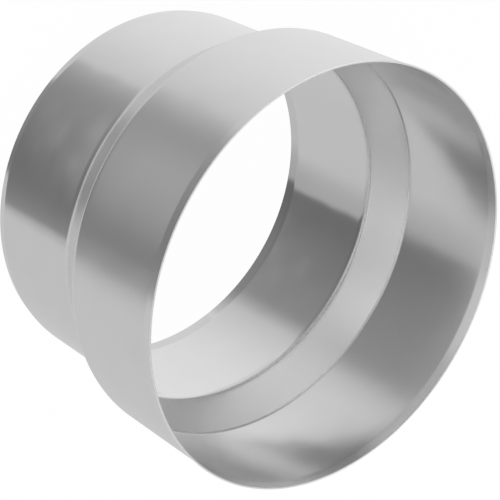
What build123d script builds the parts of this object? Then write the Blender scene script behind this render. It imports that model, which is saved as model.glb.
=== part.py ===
from build123d import *
import os

# Duct reducer spun from one sheet: a wide socket collar, a short cone and a narrower spigot collar.
# It stands on the spigot's rim with its axis on Z, and the origin is the centre of that rim.
# All sizes are in millimetres.

# Sheet and diameters, measured on the outside of the straight collars
sheet = 0.5
socket_diameter = 125.0
spigot_diameter = 112.0

# Lengths along the axis, between the corners of the outside profile
spigot_length = 37.0
cone_length = 12.5
socket_length = 36.5

# Radii on the hollow side of the two folds beside the cone
spigot_fold_radius = 6.0
socket_fold_radius = 3.0

# The spigot's rim is drawn in to lead it into a pipe, and the socket's mouth is eased out
spigot_lead_length = 3.0
spigot_draw_in = 0.6
mouth_lead_length = 3.0
mouth_flare = 0.3
lead_bend_radius = 4.0

# Both rims are trimmed square to the axis, and the edges that meet the pipes are broken
trim_allowance = 2.0
edge_break = 0.1

# Places that follow from the sizes above
socket_radius = socket_diameter / 2
spigot_radius = spigot_diameter / 2
cone_foot = spigot_length
cone_top = cone_foot + cone_length
height = cone_top + socket_length
draw_in_slope = spigot_draw_in / spigot_lead_length
flare_slope = mouth_flare / mouth_lead_length

os.makedirs("parts", exist_ok=True)

with BuildPart() as reducer_body:
    with BuildSketch(Plane.XZ) as section:
        with BuildLine():
            # Outside of the sheet, from below the spigot's rim to above the mouth
            FilletPolyline(
                (spigot_radius - spigot_draw_in - draw_in_slope * trim_allowance, -trim_allowance),
                (spigot_radius, spigot_lead_length),
                (spigot_radius, cone_foot),
                (socket_radius, cone_top),
                (socket_radius, height - mouth_lead_length),
                (socket_radius + mouth_flare + flare_slope * trim_allowance, height + trim_allowance),
                radius=[
                    lead_bend_radius + sheet,
                    spigot_fold_radius,
                    socket_fold_radius + sheet,
                    lead_bend_radius,
                ],
            )
            # The sheet's thickness lies on the side of the axis
            offset(amount=sheet, side=Side.LEFT)
        make_face()
        # Trimming both rims square to the axis
        with Locations((0, height / 2)):
            Rectangle(2 * socket_diameter, height, mode=Mode.INTERSECT)
        rim_corners = section.vertices().group_by(Axis.Y)
        spigot_outer_corner = rim_corners[0].sort_by(Axis.X)[-1]
        mouth_inner_corner = rim_corners[-1].sort_by(Axis.X)[0]
        chamfer([spigot_outer_corner, mouth_inner_corner], length=edge_break)
    revolve(axis=Axis.Z)

reducer_body.part.label = "reducer_body"
export_step(reducer_body.part, "parts/reducer_body.step")
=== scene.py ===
import math

import bmesh
import bpy
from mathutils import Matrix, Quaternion, Vector


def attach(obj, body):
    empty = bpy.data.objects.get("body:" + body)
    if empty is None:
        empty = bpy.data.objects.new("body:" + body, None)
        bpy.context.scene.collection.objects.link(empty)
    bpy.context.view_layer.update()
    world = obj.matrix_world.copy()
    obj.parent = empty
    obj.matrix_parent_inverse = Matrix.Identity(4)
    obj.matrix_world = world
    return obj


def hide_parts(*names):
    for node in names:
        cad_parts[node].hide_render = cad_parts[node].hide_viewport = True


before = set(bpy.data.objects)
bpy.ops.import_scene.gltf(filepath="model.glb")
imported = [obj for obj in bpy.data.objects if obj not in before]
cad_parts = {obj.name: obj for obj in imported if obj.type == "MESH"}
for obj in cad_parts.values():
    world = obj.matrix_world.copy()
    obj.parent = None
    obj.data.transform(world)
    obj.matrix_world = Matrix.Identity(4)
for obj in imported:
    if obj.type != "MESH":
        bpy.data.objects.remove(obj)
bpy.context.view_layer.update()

# Reducer body: one piece of thin steel sheet, spun over a form to a wide socket collar, a short
# cone and a narrower spigot collar. Both folds are rounded by the spinning roller, the socket's
# mouth is eased out, the spigot's rim is drawn in, and both rims are trimmed square.
sheet = 0.0005
socket_radius = 0.0625
spigot_radius = 0.056
spigot_length = 0.037
cone_length = 0.0125
socket_length = 0.0365
spigot_fold_radius = 0.006
socket_fold_radius = 0.003
lead_length = 0.003
lead_bend_radius = 0.004
spigot_draw_in = 0.0006
mouth_flare = 0.00029
trim_allowance = 0.002
edge_break = 0.0001
row_beside_bend = 0.0006
bend_step = math.radians(3)
fewest_bend_steps = 3
steps_round = 192
weld_distance = 1e-6
cut_tolerance = 1e-7
sharp_angle = math.radians(20)
height = spigot_length + cone_length + socket_length
draw_in_angle = math.atan2(spigot_draw_in, lead_length)
cone_angle = math.atan2(socket_radius - spigot_radius, cone_length)
flare_angle = math.atan2(mouth_flare, lead_length)

body = bmesh.new()
section_start = (
    spigot_radius - (lead_length + trim_allowance) * math.tan(draw_in_angle),
    0,
    -trim_allowance,
)
tip = bmesh.ops.create_vert(body, co=section_start)["vert"][0]
lean = draw_in_angle


def run(length):
    # A straight run of the section, with short rows beside the bends that keep their shading there
    global tip
    row = min(row_beside_bend, length / 3)
    for step in (row, length - 2 * row, row):
        tip = bmesh.ops.extrude_vert_indiv(body, verts=[tip])["verts"][0]
        bmesh.ops.translate(body, verts=[tip], vec=(math.sin(lean) * step, 0, math.cos(lean) * step))


def bend(radius, turn):
    # A bend of the section, outwards for a positive turn
    global tip, lean
    centre = tip.co + math.copysign(radius, turn) * Vector((math.cos(lean), 0, -math.sin(lean)))
    steps = max(fewest_bend_steps, round(abs(turn) / bend_step))
    arc = bmesh.ops.spin(body, geom=[tip], cent=centre, axis=(0, 1, 0), angle=turn, steps=steps)
    tip = next(item for item in arc["geom_last"] if isinstance(item, bmesh.types.BMVert))
    lean += turn


lead_bend_reach = (lead_bend_radius + sheet) * math.tan(draw_in_angle / 2)
spigot_fold_reach = spigot_fold_radius * math.tan(cone_angle / 2)
socket_fold_reach = (socket_fold_radius + sheet) * math.tan(cone_angle / 2)
mouth_bend_reach = lead_bend_radius * math.tan(flare_angle / 2)
run((lead_length + trim_allowance) / math.cos(draw_in_angle) - lead_bend_reach)
bend(lead_bend_radius + sheet, -draw_in_angle)
run(spigot_length - lead_length - lead_bend_reach - spigot_fold_reach)
bend(spigot_fold_radius, cone_angle)
run(cone_length / math.cos(cone_angle) - spigot_fold_reach - socket_fold_reach)
bend(socket_fold_radius + sheet, -cone_angle)
run(socket_length - lead_length - socket_fold_reach - mouth_bend_reach)
bend(lead_bend_radius, flare_angle)
run((lead_length + trim_allowance) / math.cos(flare_angle) - mouth_bend_reach)
bmesh.ops.spin(
    body, geom=body.verts[:] + body.edges[:], cent=(0, 0, 0), axis=(0, 0, 1),
    angle=2 * math.pi, steps=steps_round, use_merge=True,
)
bmesh.ops.remove_doubles(body, verts=body.verts, dist=weld_distance)
bmesh.ops.recalc_face_normals(body, faces=body.faces)
bmesh.ops.solidify(body, geom=body.faces[:], thickness=sheet)
for rim_height, away in ((0, -1), (height, 1)):
    cut = bmesh.ops.bisect_plane(
        body, geom=body.verts[:] + body.edges[:] + body.faces[:], dist=cut_tolerance,
        plane_co=(0, 0, rim_height), plane_no=(0, 0, away), clear_outer=True,
    )
    rim = [item for item in cut["geom_cut"] if isinstance(item, bmesh.types.BMEdge)]
    bmesh.ops.bridge_loops(body, edges=rim)
    rim = [edge for edge in rim if edge.is_valid]
    bmesh.ops.bevel(
        body, geom=rim, offset=edge_break, offset_type="OFFSET", affect="EDGES",
        segments=2, profile=0.5, material=-1,
    )
body_mesh = bpy.data.meshes.new("reducer_sheet")
body.to_mesh(body_mesh)
body.free()
body_mesh.shade_smooth()
body_mesh.set_sharp_from_angle(angle=sharp_angle)
reducer = bpy.data.objects.new("reducer_sheet", body_mesh)
bpy.context.collection.objects.link(reducer)
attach(reducer, "root")
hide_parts("reducer_body")

# Satin finish of the sheet: cold-rolled steel, polished to a soft sheen. Spinning stretched the cone and
# the socket, so they are duller than the spigot, and left a slight haze, most of it inside the cone.
# The trimmed rims are rougher, and the sheet is never quite even, so reflections waver.
dark_steel = (0.77, 0.77, 0.77, 1)
light_steel = (0.82, 0.82, 0.82, 1)
polished_dullness = 0.09
cone_dullness = 0.18
socket_regain = 0.09
cloud_dullness = 0.03
ring_dullness = 0.01
trim_dullness = 0.15
socket_haze = 0.05
cone_haze = 0.15
waver_height = 0.00013
cone_foot = spigot_length
cone_head = spigot_length + cone_length
fold_fade = 0.0008
cone_foot_fade = 0.0012
haze_fade = 0.001
cone_haze_fade = 0.0025
trim_depth = 0.00008
trim_fade_depth = 0.00014


class Wire:
    # A shader socket in Python: operators on it add Math nodes, and node() adds any other node
    def __init__(self, tree, socket=None):
        self.tree = tree
        self.socket = socket

    def node(self, kind, settings, inputs, outlet=0):
        made = self.tree.nodes.new(kind)
        for name, value in settings.items():
            setattr(made, name, value)
        for place, value in inputs.items():
            if isinstance(value, Wire):
                self.tree.links.new(value.socket, made.inputs[place])
            else:
                made.inputs[place].default_value = value
        return Wire(self.tree, made.outputs[outlet]) if made.outputs else made

    def math(self, operation, *values):
        return self.node("ShaderNodeMath", {"operation": operation}, dict(enumerate(values)))

    def ramp(self, low, high, start=0, end=1, shape="LINEAR"):
        # One value below a low limit, another above a high one, and a ramp between
        return self.node(
            "ShaderNodeMapRange", {"interpolation_type": shape},
            {"Value": self, "From Min": low, "From Max": high, "To Min": start, "To Max": end},
        )

    def __add__(self, other):
        return self.math("ADD", self, other)

    def __sub__(self, other):
        return self.math("SUBTRACT", self, other)

    def __rsub__(self, other):
        return self.math("SUBTRACT", other, self)

    def __mul__(self, other):
        return self.math("MULTIPLY", self, other)

    def __truediv__(self, other):
        return self.math("DIVIDE", self, other)

    __radd__ = __add__
    __rmul__ = __mul__


steel = bpy.data.materials.new("satin_steel")
steel.use_nodes = True
steel.node_tree.nodes.clear()
draw = Wire(steel.node_tree)
place = draw.node("ShaderNodeTexCoord", {}, {}, "Object")
level = draw.node("ShaderNodeSeparateXYZ", {}, {"Vector": place}, "Z")
clouds = draw.node(
    "ShaderNodeTexNoise", {},
    {"Vector": place, "Scale": 90, "Detail": 4, "Roughness": 0.6},
)
rings = draw.node("ShaderNodeMapping", {}, {"Vector": place, "Scale": (30, 30, 2600)})
ring_marks = draw.node("ShaderNodeTexNoise", {}, {"Vector": rings, "Scale": 1, "Detail": 3})
waver = draw.node("ShaderNodeTexNoise", {}, {"Vector": place, "Scale": 60, "Detail": 1})
tone = draw.node(
    "ShaderNodeMix", {"data_type": "RGBA"},
    {"Factor": clouds, "A": dark_steel, "B": light_steel}, "Result",
)
flat = draw.node("ShaderNodeVectorMath", {"operation": "MULTIPLY"}, {0: place, 1: (1, 1, 0)})
radius = draw.node("ShaderNodeVectorMath", {"operation": "LENGTH"}, {0: flat}, "Value")
mid_sheet = level.ramp(cone_foot, cone_head, spigot_radius - sheet / 2, socket_radius - sheet / 2)
inside = draw.math("LESS_THAN", radius, mid_sheet)
up_the_cone = level.ramp(cone_foot - haze_fade, cone_foot + cone_haze_fade)
off_the_cone = level.ramp(cone_head - cone_haze_fade, cone_head)
on_the_socket = level.ramp(cone_head - haze_fade, cone_head + haze_fade)
haze = socket_haze * on_the_socket + cone_haze * inside * (up_the_cone - off_the_cone)
past_spigot_fold = level.ramp(cone_foot - fold_fade, cone_foot + cone_foot_fade)
past_socket_fold = level.ramp(cone_head - fold_fade, cone_head + fold_fade)
stretched = cone_dullness * past_spigot_fold - socket_regain * past_socket_fold
mouth_trim = level.ramp(height - trim_fade_depth, height - trim_depth)
spigot_trim = level.ramp(trim_depth, trim_fade_depth, 1, 0)
marked = cloud_dullness * clouds + ring_dullness * ring_marks
dullness = polished_dullness + stretched + marked + trim_dullness * (mouth_trim + spigot_trim)
relief = draw.node("ShaderNodeBump", {}, {"Strength": 1, "Distance": waver_height, "Height": waver})
surface = draw.node(
    "ShaderNodeBsdfPrincipled", {},
    {"Base Color": tone, "Metallic": 1 - haze, "Roughness": dullness, "Normal": relief},
)
draw.node("ShaderNodeOutputMaterial", {}, {"Surface": surface})
body_mesh.materials.append(steel)

# Floor: a pale matt board that the reducer stands on. For the camera most of its white is its own, and
# the rest is lit, so the reducer's soft shadow stays. The metal mirrors the studio and not the board.
floor_radius = 4
floor_sides = 96
own_white = 0.97
floor_tone = (0.9, 0.9, 0.9, 1)
white = (1, 1, 1, 1)
floor_mesh = bpy.data.meshes.new("floor_board")
board = bmesh.new()
bmesh.ops.create_circle(board, cap_ends=True, segments=floor_sides, radius=floor_radius)
board.to_mesh(floor_mesh)
board.free()
floor = bpy.data.objects.new("floor_board", floor_mesh)
bpy.context.collection.objects.link(floor)
floor.visible_glossy = False
pale = bpy.data.materials.new("pale_floor")
pale.use_nodes = True
pale.node_tree.nodes.clear()
draw = Wire(pale.node_tree)
matt = draw.node("ShaderNodeBsdfDiffuse", {}, {"Color": floor_tone})
glow = draw.node("ShaderNodeEmission", {}, {"Color": white, "Strength": 1})
seen = draw.node("ShaderNodeLightPath", {}, {}, "Is Camera Ray")
board_face = draw.node("ShaderNodeMixShader", {}, {0: own_white * seen, 1: matt, 2: glow})
draw.node("ShaderNodeOutputMaterial", {}, {"Surface": board_face})
floor_mesh.materials.append(pale)

# Studio: pale walls round the reducer, far enough away to look the same from all of it, with a pale
# strip at the horizon, soft boxes above and dark screens between them. Two screens stand low in front:
# the outsides of the collars mirror the lower one, and their insides the upper one.
wall_reach = 60
wall_low_light = 0.65
wall_middle_light = 0.54
wall_rise = 0.85
strip_light = 0.4
strip_middle = -2.1
strip_half_height = 10.8
strip_softness = 4.7
least_depth = 0.05
studio = bpy.data.worlds.new("studio")
studio.use_nodes = True
studio.node_tree.nodes.clear()
bpy.context.scene.world = studio
draw = Wire(studio.node_tree)
way = draw.node("ShaderNodeTexCoord", {}, {}, "Generated")


def along(axis):
    # How far a direction in the studio points along an axis
    return draw.node("ShaderNodeVectorMath", {"operation": "DOT_PRODUCT"}, {0: way, 1: axis}, "Value")


def edge(distance, soft):
    # 1 well inside a panel, 0 well outside it, and a soft step between
    return distance.ramp(-soft, soft, shape="SMOOTHSTEP")


def between(sides, soft, value):
    # 1 between two sides, each with a softness of its own
    return edge(value - sides[0], soft[0]) * edge(sides[1] - value, soft[1])


elevation = draw.math("ARCSINE", along((0, 0, 1))) * math.degrees(1)


def above(low, soft):
    # 1 above an elevation, with a soft edge, both in degrees
    return edge(elevation - low, soft)


def below(high, soft):
    # 1 below an elevation, with a soft edge, both in degrees
    return edge(high - elevation, soft)


def panel(at, across, up, soft, light):
    # A flat panel square to a direction, which is an azimuth and an elevation in degrees. Its sides and
    # their softness are in units of its distance. One without up has no lower or upper side.
    turn, lift = (math.radians(angle) for angle in at)
    ahead = Vector((math.cos(lift) * math.sin(turn), -math.cos(lift) * math.cos(turn), math.sin(lift)))
    right = Vector((math.cos(turn), math.sin(turn), 0))
    depth = along(ahead)
    shown = draw.math("GREATER_THAN", depth, least_depth) * between(across, soft[:2], along(right) / depth)
    if up:
        shown = shown * between(up, soft[2:], along(ahead.cross(right)) / depth)
    return light * shown


low_walls = elevation.ramp(-wall_reach, 0, wall_low_light, wall_middle_light)
walls = low_walls + elevation.ramp(0, wall_reach, 0, wall_rise)
off_strip = draw.math("ABSOLUTE", elevation - strip_middle)
strip = strip_light * edge(strip_half_height - off_strip, strip_softness)
parting = below(-46.1, 1)
under = parting * above(-79.5, 4) * panel((0, 0), (-1.19, 1.88), None, (0.12, 0.1), 1)
over = (1 - parting) * below(-16.2, 9)
low_screen = under * panel((0, -25), (-0.58, 0.82), None, (0.28, 0.05), -0.219)
low_shade = under * panel((0, -25), (-0.28, 0.78), None, (0.88, 0.62), -0.26)
middle_glow = parting * above(-50.4, 2.4) * panel((0, -25), (-0.27, 0.32), None, (0.24, 0.27), 0.4)
high_screen = over * panel((0, 0), (-0.8, 0.86), None, (0.23, 0.05), -0.31)
high_shade = over * panel((0, 0), (-0.08, 1.61), None, (0.74, 0.61), -0.13)
low_glow = panel((-122, -42), (-1.8, 1.8), (-0.35, 0.75), (0.21, 0.21, 0.5, 0.35), 0.29)
key_lamp = panel((-95, 50), (-0.4, 0.4), (-0.12, 0.12), (0.2, 0.2, 0.06, 0.06), 2.3)
left_box = panel((-110, 43), (-1.66, 1.66), (-0.47, 0.47), (0.1, 0.1, 0.16, 0.16), 0.5)
right_box = panel((109, 30), (-3.96, 3.96), (-0.39, 0.39), (0.13, 0.13, 0.12, 0.12), 0.93)
front_box = panel((65, 22), (-0.85, 0.85), (-0.45, 0.85), (0.4, 0.4, 0.22, 0.4), 0.22)
left_screen = panel((-58, 23), (-0.72, 0.72), (-0.42, 0.76), (0.24, 0.24, 0.15, 0.03), -0.91)
side_screen = panel((-82, 25), (-0.77, 0.77), (-2.2, 2.2), (0.03, 0.03, 0.36, 0.36), -0.11)
roof_screen = panel((174, 57), (-2.03, 2.03), (-0.87, 0.87), (0.4, 0.4, 0.22, 0.22), -0.75)
shades = low_screen + low_shade + high_screen + high_shade + left_screen + side_screen + roof_screen
boxes = middle_glow + low_glow + key_lamp + left_box + right_box + front_box
light = draw.math("MAXIMUM", walls + strip + boxes + shades, 0)
seen = draw.node("ShaderNodeLightPath", {}, {}, "Is Camera Ray")
room = draw.node("ShaderNodeBackground", {}, {"Color": white, "Strength": light})
backdrop = draw.node("ShaderNodeBackground", {}, {"Color": white, "Strength": 1})
sky = draw.node("ShaderNodeMixShader", {}, {0: seen, 1: room, 2: backdrop})
draw.node("ShaderNodeOutputWorld", {}, {"Surface": sky})

# Camera: a long lens at the photograph's viewing angle, in front of the reducer and above it, looking
# down into the mouth. Its strong roll lays the reducer on its side in the picture.
aim = Vector((0.003656, 0.007421, 0.043))
roll = math.radians(118.428)
lens = bpy.data.cameras.new("photo_view")
lens.sensor_width = 36
lens.lens = 124.69
camera = bpy.data.objects.new("photo_view", lens)
bpy.context.collection.objects.link(camera)
camera.location = (0, -0.353987, 0.406748)
level_view = (aim - camera.location).to_track_quat("-Z", "Y")
camera.rotation_mode = "QUATERNION"
camera.rotation_quaternion = level_view @ Quaternion((0, 0, 1), roll)
bpy.context.scene.camera = camera
bpy.context.scene.view_settings.view_transform = "Standard"
